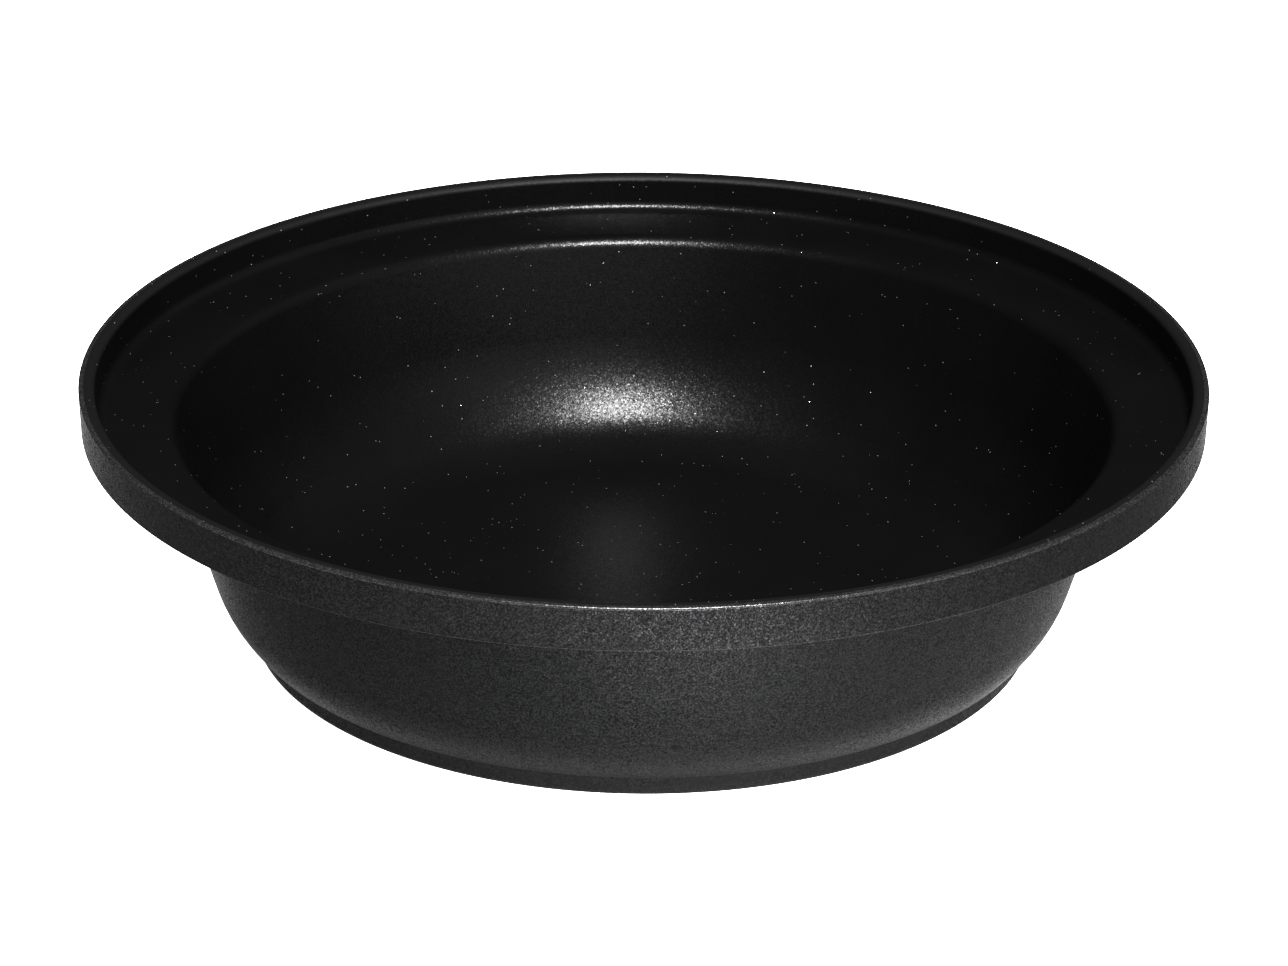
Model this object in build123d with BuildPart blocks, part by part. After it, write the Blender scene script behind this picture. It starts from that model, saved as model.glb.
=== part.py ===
from build123d import *

import os

# A deep round pan cast in one piece, with a raised lip around a lid seat and a low turned foot.
# The inside carries a non-stick lining, the outside a grainy black coat, and a perforated steel
# disc is pressed into the underside. +Z is up and the origin is the middle of the underside.
# All sizes are in millimetres.

os.makedirs("parts", exist_ok=True)

# ---- driving dimensions -------------------------------------------------------------------
rim_radius = 160.0
height = 78.5
film = 0.25

# the rim: a tall plain band outside, a flat lip on top, a lid seat inside it
band_height = 12.5
band_draft = 0.4
lip_width = 4.6
lip_draft = 0.7
seat_depth = 10.5
seat_fall = 1.5
seat_width = 21.2
seam_radius = rim_radius - 1.5

# the bowl below the seat
wall_knee_radius = 121.9
wall_knee_level = 25.3
floor_corner_radius = 106.8
floor_level = 6.0
wall_top_radius = 135.7
wall_top_level = 60.6
wall_foot_radius = 122.0
wall_foot_level = 15.0

# the foot that the pan stands on
foot_radius = 112.6
foot_height = 6.3
foot_ledge = 2.45
turned_radius = 110.4

# the steel disc in the underside and the aluminium rivets that hold it
disc_radius = 98.0
disc_thickness = 1.0
disc_bevel = 0.5
disc_eye_radius = 17.0
eye_relief = 0.3
eye_relief_radius = disc_eye_radius - disc_bevel * eye_relief / disc_thickness
rivet_radius = 3.0
rivet_flare = 0.5
rivet_rings = {26.0: 6, 44.0: 12, 60.0: 18, 75.0: 24, 88.5: 30}

# corner radii
band_top_round = 0.6
band_foot_round = 0.8
lip_inner_round = 2.0
lip_foot_fillet = 3.0
seat_edge_round = 4.5
wall_knee_round = 60.0
floor_fillet = 26.0
flange_fillet = 6.0
wall_foot_curve = 33.0
ledge_round = 4.0
foot_fillet = 0.5
foot_round = 1.5

# ---- the two surface paths, as corners (radius, level) with a radius for each inner corner --
lip_inner_radius = rim_radius - lip_width
seat_outer_radius = lip_inner_radius - lip_draft
seat_level = height - seat_depth
seat_inner_radius = seat_outer_radius - seat_width

# the inside, from the seam on the lip to the middle of the floor
inner_corners = [
    (seam_radius, height),
    (lip_inner_radius, height),
    (seat_outer_radius, seat_level),
    (seat_inner_radius, seat_level - seat_fall),
    (wall_knee_radius, wall_knee_level),
    (floor_corner_radius, floor_level),
    (0.0, floor_level),
]
inner_radii = [lip_inner_round, lip_foot_fillet, seat_edge_round, wall_knee_round, floor_fillet]

# the outside, from the seam on the lip to the turned ring under the foot
outer_corners = [
    (seam_radius, height),
    (rim_radius, height),
    (rim_radius - band_draft, height - band_height),
    (wall_top_radius, wall_top_level),
    (wall_foot_radius, wall_foot_level),
    (foot_radius + foot_ledge, foot_height),
    (foot_radius, foot_height),
    (foot_radius, 0.0),
    (turned_radius, 0.0),
]
outer_radii = [
    band_top_round,
    band_foot_round,
    flange_fillet,
    wall_foot_curve,
    ledge_round,
    foot_fillet,
    foot_round,
]


def beside(corners, radii, distance):
    """The path that runs a distance to the left of another, with its ends at the same radii."""
    points = [Vector(*corner) for corner in corners]
    runs = [(b - a).normalized() for a, b in zip(points, points[1:])]
    lefts = [Vector(-run.Y, run.X) * distance for run in runs]
    moved = [(corners[0][0], points[0].Y + lefts[0].Y)]
    new_radii = []
    for point, radius, run, next_run, left, next_left in zip(
        points[1:], radii, runs, runs[1:], lefts, lefts[1:]
    ):
        turn = run.X * next_run.Y - run.Y * next_run.X
        gap = next_left - left
        along = (gap.X * next_run.Y - gap.Y * next_run.X) / turn
        corner = point + left + run * along
        moved.append((corner.X, corner.Y))
        new_radii.append(radius - distance if turn > 0 else radius + distance)
    moved.append((corners[-1][0], points[-1].Y + lefts[-1].Y))
    return moved, new_radii


# the metal lies to the left of the inside path and to the right of the outside path
metal_inner, metal_inner_radii = beside(inner_corners, inner_radii, film)
metal_outer, metal_outer_radii = beside(outer_corners, outer_radii, -film)


def rivet_cones(mode):
    """A flared cone at every rivet, wider at the underside so that it holds the disc up."""
    for ring_radius, count in rivet_rings.items():
        with PolarLocations(ring_radius, count):
            Cone(
                rivet_radius + rivet_flare,
                rivet_radius,
                disc_thickness,
                align=(Align.CENTER, Align.CENTER, Align.MIN),
                mode=mode,
            )


# ---- pan casting: rim, lid seat, bowl and foot in one piece of aluminium ---------------------
with BuildPart() as pan_casting:
    with BuildSketch(Plane.XZ):
        with BuildLine():
            inside = FilletPolyline(*metal_inner, radius=metal_inner_radii)
            outside = FilletPolyline(*metal_outer, radius=metal_outer_radii)
            Polyline(
                outside @ 1,
                (turned_radius, 0),
                (disc_radius, 0),
                (disc_radius + disc_bevel, disc_thickness),
                (disc_eye_radius - disc_bevel, disc_thickness),
                (eye_relief_radius, eye_relief),
                (0, eye_relief),
                inside @ 1,
            )
        make_face()
    revolve(axis=Axis.Z)
    rivet_cones(Mode.ADD)
pan_casting.part.label = "pan_casting"
export_step(pan_casting.part, "parts/pan_casting.step")


# ---- non-stick lining: the film over the lip, the lid seat, the wall and the floor -----------
with BuildPart() as nonstick_lining:
    with BuildSketch(Plane.XZ):
        with BuildLine():
            face = FilletPolyline(*inner_corners, radius=inner_radii)
            back = FilletPolyline(*metal_inner, radius=metal_inner_radii)
            Line(face @ 0, back @ 0)
            Line(face @ 1, back @ 1)
        make_face()
    revolve(axis=Axis.Z)
nonstick_lining.part.label = "nonstick_lining"
export_step(nonstick_lining.part, "parts/nonstick_lining.step")


# ---- outer coat: the grainy film over the band, the flange, the wall and the foot ------------
with BuildPart() as outer_coat:
    with BuildSketch(Plane.XZ):
        with BuildLine():
            face = FilletPolyline(*outer_corners, radius=outer_radii)
            back = FilletPolyline(*metal_outer, radius=metal_outer_radii)
            Line(face @ 0, back @ 0)
            Line(face @ 1, back @ 1)
        make_face()
    revolve(axis=Axis.Z)
outer_coat.part.label = "outer_coat"
export_step(outer_coat.part, "parts/outer_coat.step")


# ---- base disc: perforated steel, pressed flush into the underside and held by the rivets ----
with BuildPart() as base_disc:
    with BuildSketch(Plane.XZ):
        with BuildLine():
            Polyline(
                (disc_eye_radius, 0),
                (disc_radius, 0),
                (disc_radius + disc_bevel, disc_thickness),
                (disc_eye_radius - disc_bevel, disc_thickness),
                close=True,
            )
        make_face()
    revolve(axis=Axis.Z)
    rivet_cones(Mode.SUBTRACT)
base_disc.part.label = "base_disc"
export_step(base_disc.part, "parts/base_disc.step")
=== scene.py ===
import math

import bmesh
import bpy
from mathutils import Matrix, Vector, geometry


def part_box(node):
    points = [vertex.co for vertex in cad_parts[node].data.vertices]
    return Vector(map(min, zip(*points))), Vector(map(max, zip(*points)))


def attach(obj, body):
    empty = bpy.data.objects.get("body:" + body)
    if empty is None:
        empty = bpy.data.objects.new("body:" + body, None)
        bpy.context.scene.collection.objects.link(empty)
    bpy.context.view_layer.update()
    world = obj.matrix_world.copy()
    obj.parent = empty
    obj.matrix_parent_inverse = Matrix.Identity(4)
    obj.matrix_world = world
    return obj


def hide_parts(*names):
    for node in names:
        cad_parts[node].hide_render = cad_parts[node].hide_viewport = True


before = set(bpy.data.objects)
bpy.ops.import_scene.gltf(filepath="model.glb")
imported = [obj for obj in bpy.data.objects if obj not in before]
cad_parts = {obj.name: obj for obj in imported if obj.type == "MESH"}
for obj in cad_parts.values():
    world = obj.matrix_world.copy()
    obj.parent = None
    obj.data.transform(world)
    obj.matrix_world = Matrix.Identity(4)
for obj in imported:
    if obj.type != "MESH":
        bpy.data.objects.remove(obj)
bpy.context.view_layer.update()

# A deep round cast pan, black non-stick inside and grainy black outside. All four pieces are turned
# again here, far finer than in CAD, and every material is built from nodes. Metres, +Z up.

MM = 0.001

# ---- sizes: the rim and the height come from the frame, the rest are the design's own ------------
RIM_RADIUS = min(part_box("outer_coat")[1].x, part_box("outer_coat")[1].y)
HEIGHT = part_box("outer_coat")[1].z
FILM = 0.25 * MM

BAND_HEIGHT = 12.5 * MM
BAND_DRAFT = 0.4 * MM
LIP_WIDTH = 4.6 * MM
LIP_DRAFT = 0.7 * MM
SEAT_DEPTH = 10.5 * MM
SEAT_FALL = 1.5 * MM
SEAT_WIDTH = 21.2 * MM
SEAM_RADIUS = RIM_RADIUS - 1.5 * MM

WALL_KNEE_RADIUS = 121.9 * MM
WALL_KNEE_LEVEL = 25.3 * MM
FLOOR_CORNER_RADIUS = 106.8 * MM
FLOOR_LEVEL = 6.0 * MM
WALL_TOP_RADIUS = 135.7 * MM
WALL_TOP_LEVEL = 60.6 * MM
WALL_FOOT_RADIUS = 122.0 * MM
WALL_FOOT_LEVEL = 15.0 * MM

FOOT_RADIUS = 112.6 * MM
FOOT_HEIGHT = 6.3 * MM
FOOT_LEDGE = 2.45 * MM
TURNED_RADIUS = 110.4 * MM

DISC_RADIUS = 98.0 * MM
DISC_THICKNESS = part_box("base_disc")[1].z
DISC_BEVEL = 0.5 * MM
EYE_RADIUS = 17.0 * MM
EYE_RELIEF = 0.3 * MM
RIVET_RADIUS = 3.0 * MM
RIVET_FLARE = 0.5 * MM
RIVET_RINGS = {26.0 * MM: 6, 44.0 * MM: 12, 60.0 * MM: 18, 75.0 * MM: 24, 88.5 * MM: 30}

LIP_INNER_RADIUS = RIM_RADIUS - LIP_WIDTH
SEAT_OUTER_RADIUS = LIP_INNER_RADIUS - LIP_DRAFT
SEAT_LEVEL = HEIGHT - SEAT_DEPTH
SEAT_INNER_RADIUS = SEAT_OUTER_RADIUS - SEAT_WIDTH

# a path is a list of (radius, level, corner round)
INSIDE = [
    (SEAM_RADIUS, HEIGHT, 0.0),
    (LIP_INNER_RADIUS, HEIGHT, 2.0 * MM),
    (SEAT_OUTER_RADIUS, SEAT_LEVEL, 3.0 * MM),
    (SEAT_INNER_RADIUS, SEAT_LEVEL - SEAT_FALL, 4.5 * MM),
    (WALL_KNEE_RADIUS, WALL_KNEE_LEVEL, 60.0 * MM),
    (FLOOR_CORNER_RADIUS, FLOOR_LEVEL, 26.0 * MM),
    (0.0, FLOOR_LEVEL, 0.0),
]
OUTSIDE = [
    (SEAM_RADIUS, HEIGHT, 0.0),
    (RIM_RADIUS, HEIGHT, 0.6 * MM),
    (RIM_RADIUS - BAND_DRAFT, HEIGHT - BAND_HEIGHT, 0.8 * MM),
    (WALL_TOP_RADIUS, WALL_TOP_LEVEL, 6.0 * MM),
    (WALL_FOOT_RADIUS, WALL_FOOT_LEVEL, 33.0 * MM),
    (FOOT_RADIUS + FOOT_LEDGE, FOOT_HEIGHT, 4.0 * MM),
    (FOOT_RADIUS, FOOT_HEIGHT, 0.5 * MM),
    (FOOT_RADIUS, 0.0, 1.5 * MM),
    (TURNED_RADIUS, 0.0, 0.0),
]

# how finely the pieces are turned, the angle from which an edge is sharp, and the size of the
# small rounds on the bare metal's edges
AROUND = 512
AROUND_EYE = 128
AROUND_RIVET = 48
ARC_STEP = math.radians(5)
LONGEST_RUN = 4 * MM
FIRST_RUN = 0.3 * MM
SHARP_FROM = math.radians(40)
BROKEN_EDGE = 0.12 * MM


# ---- shapes --------------------------------------------------------------------------------------
def split_run(start, end):
    """Points after start up to end: a short step at each end, then even steps between them."""
    length = (end - start).length
    marks = [0.0, length]
    if length > 3 * FIRST_RUN:
        count = math.ceil((length - 2 * FIRST_RUN) / LONGEST_RUN)
        step = (length - 2 * FIRST_RUN) / count
        marks = [0.0] + [FIRST_RUN + step * i for i in range(count + 1)] + [length]
    return [start.lerp(end, mark / length) for mark in marks[1:]]


def rounded(path):
    """The path's points with each inner corner replaced by an arc of its round."""
    corners = [Vector((radius, level)) for radius, level, _ in path]
    points = [corners[0]]
    for i in range(1, len(corners) - 1):
        corner = corners[i]
        back = (corners[i - 1] - corner).normalized()
        ahead = (corners[i + 1] - corner).normalized()
        half = back.angle(ahead) / 2
        setback = path[i][2] / math.tan(half)
        centre = corner + (back + ahead).normalized() * (path[i][2] / math.sin(half))
        begin = corner + back * setback - centre
        turn = begin.angle_signed(corner + ahead * setback - centre)
        points += split_run(points[-1], centre + begin)
        steps = max(3, math.ceil(abs(turn) / ARC_STEP))
        for k in range(1, steps + 1):
            spin = Matrix.Rotation(-turn * k / steps, 2)
            points.append(centre + spin @ begin)
    return points + split_run(points[-1], corners[-1])


def behind(points, depth):
    """The same line moved sideways by the film's depth, its ends kept on the same radii."""
    moved = []
    for i, point in enumerate(points):
        along = (points[min(i + 1, len(points) - 1)] - points[max(i - 1, 0)]).normalized()
        side = Vector((-along.y, along.x)) * depth
        if i in (0, len(points) - 1):
            side.x = 0.0
        moved.append(point + side)
    return moved


def add_ring(mesh, centre, radius, level, around):
    """Adds a level ring of vertices to the mesh, or a single one where the radius is nothing."""
    count = around if radius > 0 else 1
    ring = []
    for k in range(count):
        angle = 2 * math.pi * k / count
        x = centre[0] + radius * math.cos(angle)
        y = centre[1] + radius * math.sin(angle)
        ring.append(mesh.verts.new((x, y, level)))
    return ring


def add_turned(mesh, outline, centre=(0.0, 0.0), around=AROUND):
    """Adds the closed outline, turned about an upright line through centre, to the mesh."""
    rings = [add_ring(mesh, centre, radius, level, around) for radius, level in outline]
    for a, b in zip(rings, rings[1:] + rings[:1]):
        if len(a) == 1 and len(b) == 1:
            continue
        for k in range(around):
            after = (k + 1) % around
            corners = [a[k % len(a)], a[after % len(a)], b[after % len(b)], b[k % len(b)]]
            mesh.faces.new([v for i, v in enumerate(corners) if v not in corners[:i]])


def make_piece(name, mesh, material):
    """Turns the mesh into a smooth-shaded piece that rides with the pan."""
    bmesh.ops.recalc_face_normals(mesh, faces=mesh.faces)
    for face in mesh.faces:
        # every triangle lies in a flat face, where a rounded neighbour would bend its shading
        face.smooth = len(face.verts) > 3
    data = bpy.data.meshes.new(name)
    mesh.to_mesh(data)
    mesh.free()
    data.set_sharp_from_angle(angle=SHARP_FROM)
    data.materials.append(material)
    piece = bpy.data.objects.new(name, data)
    bpy.context.scene.collection.objects.link(piece)
    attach(piece, "root")
    return piece


# ---- camera, fitted to the pan's outline in the photo: lens in millimetres, angles in degrees -----
LENS = 136.85
LOOKS_DOWN = 23.922
ROLL = 0.362
YAW = -0.010
CAMERA_PLACE = (0.0, -1.28531, HEIGHT + 0.53409)


def make_camera():
    data = bpy.data.cameras.new("camera")
    data.sensor_width = 36.0
    data.lens = LENS
    data.clip_start = 0.05
    data.clip_end = 50.0
    camera = bpy.data.objects.new("camera", data)
    bpy.context.scene.collection.objects.link(camera)
    pitch = Matrix.Rotation(math.radians(90 - LOOKS_DOWN), 4, "X")
    roll = Matrix.Rotation(math.radians(ROLL), 4, "Z")
    yaw = Matrix.Rotation(math.radians(YAW), 4, "Z")
    place = Matrix.Translation(CAMERA_PLACE)
    camera.matrix_world = place @ yaw @ pitch @ roll
    bpy.context.scene.camera = camera


make_camera()


# ---- node helpers --------------------------------------------------------------------------------
class Nodes:
    """Short ways to add and join shader nodes in one material, or in the world."""

    def __init__(self, name=None, world=None):
        if world:
            self.tree = world.node_tree
            self.place = self.add("ShaderNodeTexCoord").outputs["Generated"]
            return
        self.material = bpy.data.materials.new(name)
        self.material.use_nodes = True
        self.tree = self.material.node_tree
        self.shader = self.tree.nodes["Principled BSDF"]
        self.place = self.add("ShaderNodeTexCoord").outputs["Object"]

    def add(self, kind, **settings):
        node = self.tree.nodes.new(kind)
        for key, value in settings.items():
            setattr(node, key, value)
        return node

    def join(self, source, socket):
        if isinstance(source, bpy.types.NodeSocket):
            self.tree.links.new(source, socket)
        else:
            socket.default_value = source

    def noise(self, size, detail=2.0, rough=0.5, place=None):
        """Smooth noise whose blobs are about that size, in metres; runs from 0 to 1."""
        node = self.add("ShaderNodeTexNoise")
        self.join(place or self.place, node.inputs["Vector"])
        node.inputs["Scale"].default_value = 1.0 / size
        node.inputs["Detail"].default_value = detail
        node.inputs["Roughness"].default_value = rough
        return node.outputs["Fac"]

    def cells(self, size):
        """A crowd of cells about that size, in metres: distance, and two random colours each."""
        node = self.add("ShaderNodeTexVoronoi")
        self.join(self.place, node.inputs["Vector"])
        node.inputs["Scale"].default_value = 1.0 / size
        other = self.add("ShaderNodeTexWhiteNoise", noise_dimensions="3D")
        self.join(node.outputs["Color"], other.inputs["Vector"])
        return node.outputs["Distance"], node.outputs["Color"], other.outputs["Color"]

    def remap(self, value, low, high, to_low, to_high, smooth=False):
        node = self.add("ShaderNodeMapRange", clamp=True)
        node.interpolation_type = "SMOOTHSTEP" if smooth else "LINEAR"
        self.join(value, node.inputs["Value"])
        node.inputs["From Min"].default_value = low
        node.inputs["From Max"].default_value = high
        self.join(to_low, node.inputs["To Min"])
        self.join(to_high, node.inputs["To Max"])
        return node.outputs["Result"]

    def math(self, operation, a, b=0.0):
        node = self.add("ShaderNodeMath", operation=operation)
        self.join(a, node.inputs[0])
        self.join(b, node.inputs[1])
        return node.outputs[0]

    def mix(self, factor, a, b):
        node = self.add("ShaderNodeMix", data_type="RGBA")
        self.join(factor, node.inputs["Factor"])
        self.join(a, node.inputs["A"])
        self.join(b, node.inputs["B"])
        return node.outputs["Result"]

    def channel(self, colour, name):
        node = self.add("ShaderNodeSeparateColor")
        self.join(colour, node.inputs["Color"])
        return node.outputs[name]

    def level(self):
        """The height above the underside, in metres."""
        node = self.add("ShaderNodeSeparateXYZ")
        self.join(self.place, node.inputs["Vector"])
        return node.outputs["Z"]

    def vector(self, operation, a, b=None):
        node = self.add("ShaderNodeVectorMath", operation=operation)
        self.join(a, node.inputs[0])
        if b is not None:
            self.join(b, node.inputs[1])
        gives_number = operation in ("LENGTH", "DISTANCE", "DOT_PRODUCT")
        return node.outputs["Value" if gives_number else "Vector"]

    def rings(self, pitch):
        """Even grooves round the pan's axis; runs from 0 to 1."""
        node = self.add("ShaderNodeTexWave", wave_type="RINGS", rings_direction="Z")
        self.join(self.place, node.inputs["Vector"])
        # at a scale of 1 the rings are pi / 10 apart
        node.inputs["Scale"].default_value = math.pi / 10 / pitch
        return node.outputs["Fac"]

    def streaks(self, width, length):
        """Uneven scratches round the pan's axis, about that wide, and that long at the disc's edge."""
        flat = self.vector("MULTIPLY", self.place, (1.0, 1.0, 0.0))
        sideways = DISC_RADIUS * width / length
        around = self.vector("MULTIPLY", self.vector("NORMALIZE", flat), (sideways, sideways, 0.0))
        radius = self.add("ShaderNodeCombineXYZ")
        self.join(self.vector("LENGTH", flat), radius.inputs["Z"])
        return self.noise(width, place=self.vector("ADD", around, radius.outputs["Vector"]))

    def bump(self, height, depth, normal=None):
        """Relief of that depth, in metres, from a height that runs from 0 to 1."""
        node = self.add("ShaderNodeBump")
        node.inputs["Strength"].default_value = 1.0
        node.inputs["Distance"].default_value = depth
        self.join(height, node.inputs["Height"])
        if normal:
            self.join(normal, node.inputs["Normal"])
        return node.outputs["Normal"]

    def tilted(self, normal, colour, amount):
        """The normal leaned by a random vector, a different one on each cell."""
        lean = self.vector("SUBTRACT", colour, (0.5, 0.5, 0.5))
        strength = self.add("ShaderNodeCombineXYZ")
        for axis in "XYZ":
            self.join(amount, strength.inputs[axis])
        lean = self.vector("MULTIPLY", lean, strength.outputs["Vector"])
        return self.vector("NORMALIZE", self.vector("ADD", normal, lean))

    def finish(self, colour, roughness, normal=None, metallic=0.0, ior=1.5, level=0.5, tint=1.0):
        """Fills in the shader; level and tint are its specular level and specular tint."""
        self.join(colour, self.shader.inputs["Base Color"])
        self.join(roughness, self.shader.inputs["Roughness"])
        self.join(metallic, self.shader.inputs["Metallic"])
        self.shader.inputs["IOR"].default_value = ior
        self.shader.inputs["Specular IOR Level"].default_value = level
        self.shader.inputs["Specular Tint"].default_value = (tint, tint, tint, 1.0)
        if normal:
            self.join(normal, self.shader.inputs["Normal"])
        return self.material


def grey(level):
    """A grey with a trace of blue."""
    return (level, level, level * 1.03, 1.0)


# ---- materials -----------------------------------------------------------------------------------
def nonstick_film():
    """Semi-gloss black film, duller on the floor and the lip: orange peel and a few mineral flakes."""
    n = Nodes("nonstick_film")
    peel = n.noise(1.6 * MM, detail=2.0)
    tooth = n.noise(0.4 * MM, detail=2.0)
    relief = n.bump(tooth, 0.02 * MM, n.bump(peel, 0.02 * MM))
    near, cell, lean = n.cells(0.4 * MM)
    rare = n.remap(n.channel(cell, "Red"), 0.9975, 0.9985, 0.0, 1.0)
    flake = n.math("MULTIPLY", rare, n.remap(near, 0.25, 0.40, 1.0, 0.0))
    patch = n.noise(30 * MM, detail=3.0)
    lip = n.remap(n.level(), HEIGHT - 1.8 * MM, HEIGHT - 0.8 * MM, 0.0, 1.0)
    floor = n.remap(n.level(), FLOOR_LEVEL, FLOOR_LEVEL + 4 * MM, 1.0, 0.0)
    colour = n.mix(lip, n.mix(patch, grey(0.0007), grey(0.0012)), grey(0.0015))
    colour = n.mix(flake, colour, grey(0.3))
    gloss = n.remap(floor, 0.0, 1.0, n.remap(patch, 0.3, 0.7, 0.26, 0.29), 0.39)
    roughness = n.remap(lip, 0.0, 1.0, gloss, 0.58)
    crooked = n.remap(n.channel(cell, "Blue"), 0.2, 1.0, 0.08, 0.18)
    normal = n.tilted(relief, lean, n.remap(flake, 0.0, 1.0, crooked, 0.9))
    metallic = n.math("MULTIPLY", flake, 0.8)
    return n.finish(colour, roughness, normal, metallic=metallic, ior=1.35, level=0.14)


def grainy_black():
    """Matt black baked coat: a coarse grain with glints, smooth on the rim's edge, pale on the foot,
    where the paler grey is painted light from the bright floor.
    """
    n = Nodes("grainy_black")
    grain = n.noise(0.45 * MM, detail=3.0, rough=0.6)
    relief = n.bump(grain, 0.05 * MM)
    _, cell, lean = n.cells(0.33 * MM)
    crumb = n.remap(n.channel(cell, "Green"), 0.4, 1.0, 0.0, 1.0)
    edge = n.remap(n.level(), HEIGHT - 0.8 * MM, HEIGHT - 0.6 * MM, 0.0, 1.0)
    patch = n.noise(25 * MM, detail=3.0)
    # the foot's paler grey is painted light: it stands in for the bright floor's glow thrown up onto
    # the foot's side
    foot = n.remap(n.level(), FOOT_HEIGHT - 0.3 * MM, FOOT_HEIGHT, 1.0, 0.0)
    ground = n.mix(foot, n.mix(patch, grey(0.0022), grey(0.0032)), grey(0.008))
    body = n.mix(crumb, ground, grey(0.013))
    colour = n.mix(edge, body, n.mix(crumb, grey(0.018), grey(0.060)))
    metallic = n.remap(edge, 0.0, 1.0, n.math("MULTIPLY", crumb, 0.5), 0.8)
    roughness = n.remap(edge, 0.0, 1.0, n.remap(patch, 0.3, 0.7, 0.38, 0.44), 0.26)
    normal = n.tilted(relief, lean, n.remap(edge, 0.0, 1.0, 0.6, 0.15))
    return n.finish(colour, roughness, normal, metallic=metallic, level=0.01, tint=0.3)


def turned_aluminium():
    """Bare cast aluminium, faced on a lathe: fine even grooves and a little waviness."""
    n = Nodes("turned_aluminium")
    grooves = n.rings(0.35 * MM)
    streak = n.streaks(0.25 * MM, 9 * MM)
    patch = n.noise(12 * MM, detail=3.0)
    colour = n.mix(streak, grey(0.50), n.mix(patch, grey(0.60), grey(0.72)))
    relief = n.bump(streak, 0.006 * MM, n.bump(grooves, 0.010 * MM))
    return n.finish(colour, n.remap(patch, 0.3, 0.7, 0.30, 0.40), relief, metallic=1.0)


def brushed_steel():
    """Stainless steel brushed in circles, a touch darker and smoother than the aluminium."""
    n = Nodes("brushed_steel")
    streak = n.streaks(0.18 * MM, 14 * MM)
    patch = n.noise(15 * MM, detail=3.0)
    colour = n.mix(streak, grey(0.36), n.mix(patch, grey(0.46), grey(0.54)))
    relief = n.bump(streak, 0.005 * MM)
    return n.finish(colour, n.remap(streak, 0.2, 0.8, 0.34, 0.24), relief, metallic=1.0)


# ---- pieces --------------------------------------------------------------------------------------
def make_coat(name, path, depth, material):
    """A film on the casting: a closed shell from the path to the same line behind it."""
    face = rounded(path)
    mesh = bmesh.new()
    add_turned(mesh, face + behind(face, depth)[::-1])
    return make_piece(name, mesh, material)


def edge_round(radius, level, into):
    """A quarter round on an edge at that radius: from the flat, which lies on the into side."""
    steps = 4
    points = []
    for k in range(steps + 1):
        angle = math.radians(90 * k / steps)
        x = radius + into * BROKEN_EDGE * (1 - math.sin(angle))
        points.append((x, level + BROKEN_EDGE * (1 - math.cos(angle))))
    return points


def make_casting(material):
    """The aluminium under both films, turned flat underneath around a recess for the disc."""
    inside = behind(rounded(INSIDE), FILM)
    outside = behind(rounded(OUTSIDE), -FILM)
    top = DISC_THICKNESS
    buried = 1.2 * top
    under = [(outside[-1].x, 0.0)]
    under += edge_round(DISC_RADIUS, 0.0, 1.0)
    under += [(DISC_RADIUS + DISC_BEVEL, top), (EYE_RADIUS - DISC_BEVEL, top)]
    eye = EYE_RADIUS - DISC_BEVEL * EYE_RELIEF / top
    under += edge_round(eye, EYE_RELIEF, -1.0)[::-1]
    under += [(0.0, EYE_RELIEF)]
    mesh = bmesh.new()
    add_turned(mesh, outside + under + inside[::-1])
    foot = RIVET_RADIUS + RIVET_FLARE
    stud = [(0.0, 0.0)] + edge_round(foot, 0.0, -1.0)
    stud += [(RIVET_RADIUS, top), (RIVET_RADIUS, buried), (0.0, buried)]
    for centre in rivet_centres():
        add_turned(mesh, stud, centre, around=AROUND_RIVET)
    return make_piece("casting", mesh, material)


def rivet_centres():
    centres = []
    for ring_radius, count in RIVET_RINGS.items():
        for k in range(count):
            angle = 2 * math.pi * k / count
            centres.append((ring_radius * math.cos(angle), ring_radius * math.sin(angle)))
    return centres


# the kind of triangulation that keeps within the outer edge, and how near points count as one
INSIDE_EDGES = 1
SAME_POINT = 1e-9


def make_disc(material):
    """The perforated steel disc: two flat faces pierced by the rivet holes, and the walls between.

    A triangle with its three corners on one hole lies inside that hole, and is left out.
    """
    top = DISC_THICKNESS
    rim = edge_round(DISC_RADIUS, 0.0, -1.0) + [(DISC_RADIUS + DISC_BEVEL, top)]
    eye = edge_round(EYE_RADIUS, 0.0, 1.0) + [(EYE_RADIUS - DISC_BEVEL, top)]
    hole = edge_round(RIVET_RADIUS + RIVET_FLARE, 0.0, 1.0) + [(RIVET_RADIUS, top)]
    walls = [((0.0, 0.0), AROUND, rim), ((0.0, 0.0), AROUND_EYE, eye)]
    walls += [(centre, AROUND_RIVET, hole) for centre in rivet_centres()]
    mesh = bmesh.new()
    loops = []
    for centre, around, section in walls:
        rings = [add_ring(mesh, centre, radius, level, around) for radius, level in section]
        for a, b in zip(rings, rings[1:]):
            for k in range(around):
                after = (k + 1) % around
                mesh.faces.new((a[k], a[after], b[after], b[k]))
        loops.append((rings[0], rings[-1]))
    for side in (0, 1):
        edge = [v for loop in loops for v in loop[side]]
        spots = [Vector((v.co.x, v.co.y)) for v in edge]
        edges = []
        owners = []
        for number, loop in enumerate(loops):
            first = len(owners)
            count = len(loop[side])
            edges += [(first + k, first + (k + 1) % count) for k in range(count)]
            owners += [number] * count
        for corners in geometry.delaunay_2d_cdt(spots, edges, [], INSIDE_EDGES, SAME_POINT)[2]:
            inside = {owners[i] for i in corners}
            if len(inside) > 1 or inside == {0}:
                mesh.faces.new([edge[i] for i in corners])
    return make_piece("steel_disc", mesh, material)


lining = make_coat("nonstick_film", INSIDE, FILM, nonstick_film())
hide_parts("nonstick_lining")
coat = make_coat("grainy_coat", OUTSIDE, -FILM, grainy_black())
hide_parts("outer_coat")
casting = make_casting(turned_aluminium())
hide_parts("pan_casting")
disc = make_disc(brushed_steel())
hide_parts("base_disc")


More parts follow.
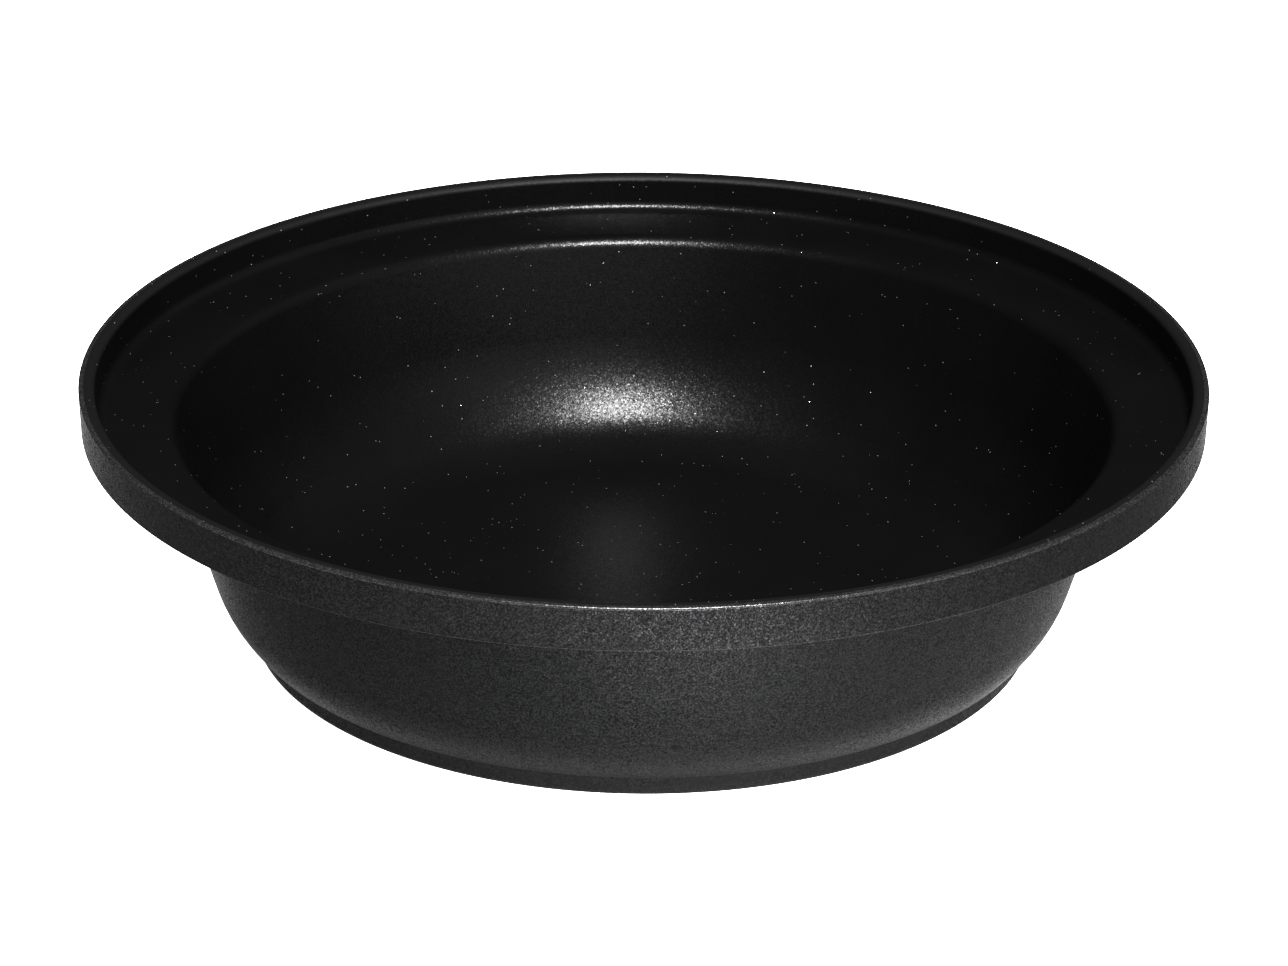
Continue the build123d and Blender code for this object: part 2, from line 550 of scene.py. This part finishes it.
# ---- stage: a pale glowing floor, a key light and soft surroundings ------------------------------
LIGHT_DISTANCE = 2.4
FLOOR_SIZE = 12.0
FLOOR_GAP = 0.2 * MM
FLOOR_GLOW = 1.0
DIM_GLOW = 0.03

# centre, reach and strength of each pool of light on the floor
FLOOR_POOLS = [
    ((0.03, -0.22, 0.0), 0.07, 65.0),
    ((0.04, -0.12, 0.0), 0.20, 4.5),
    ((0.0, 0.20, 0.0), 0.28, 16.0),
]
# azimuth, elevation and spread of each glow in the surroundings, in degrees, and its strength
WORLD_GLOWS = [
    (32, 3, 52, 1.5),
    (90, 40, 50, 0.3),
]


def make_floor():
    """A white floor that glows all over, and far more strongly in pools before and behind the pan."""
    half = FLOOR_SIZE / 2
    data = bpy.data.meshes.new("floor")
    corners = [(-half, -half, 0), (half, -half, 0), (half, half, 0), (-half, half, 0)]
    data.from_pydata(corners, [], [(0, 1, 2, 3)])
    floor = bpy.data.objects.new("floor", data)
    floor.location.z = -FLOOR_GAP
    bpy.context.scene.collection.objects.link(floor)
    n = Nodes("floor_white")
    n.finish((0.12, 0.12, 0.12, 1.0), 0.9, level=0.0)
    glow = FLOOR_GLOW
    for centre, reach, strength in FLOOR_POOLS:
        distance = n.vector("DISTANCE", n.place, centre)
        glow = n.math("ADD", glow, n.remap(distance, 0.0, reach, strength, 0.0, smooth=True))
    n.shader.inputs["Emission Color"].default_value = (1.0, 1.0, 1.0, 1.0)
    n.join(glow, n.shader.inputs["Emission Strength"])
    data.materials.append(n.material)


def towards(azimuth, elevation):
    """The direction to a light; azimuth 0 is the camera's side, positive to the right."""
    turn = math.radians(azimuth)
    rise = math.radians(elevation)
    return Vector((math.sin(turn) * math.cos(rise), -math.cos(turn) * math.cos(rise), math.sin(rise)))


def make_softbox(name, azimuth, elevation, size, power):
    """A square light aimed at the middle of the pan."""
    data = bpy.data.lights.new(name, "AREA")
    data.shape = "SQUARE"
    data.size = size
    data.energy = power
    light = bpy.data.objects.new(name, data)
    away = towards(azimuth, elevation)
    light.location = Vector((0.0, 0.0, HEIGHT / 2)) + away * LIGHT_DISTANCE
    light.rotation_euler = away.to_track_quat("Z", "Y").to_euler()
    bpy.context.scene.collection.objects.link(light)


def make_surroundings():
    """Dim all round, with soft glows where the room's lights and walls would be."""
    world = bpy.data.worlds.new("surroundings")
    world.use_nodes = True
    bpy.context.scene.world = world
    n = Nodes(world=world)
    glow = DIM_GLOW
    for azimuth, elevation, spread, strength in WORLD_GLOWS:
        facing = n.vector("DOT_PRODUCT", n.place, towards(azimuth, elevation))
        edge = math.cos(math.radians(spread))
        glow = n.math("ADD", glow, n.remap(facing, edge, 1.0, 0.0, strength, smooth=True))
    background = world.node_tree.nodes["Background"]
    background.inputs["Color"].default_value = (1.0, 1.0, 1.0, 1.0)
    n.join(glow, background.inputs["Strength"])


make_floor()
make_softbox("key", azimuth=9, elevation=54, size=0.32, power=350)
make_surroundings()
bpy.context.scene.view_settings.view_transform = "Standard"
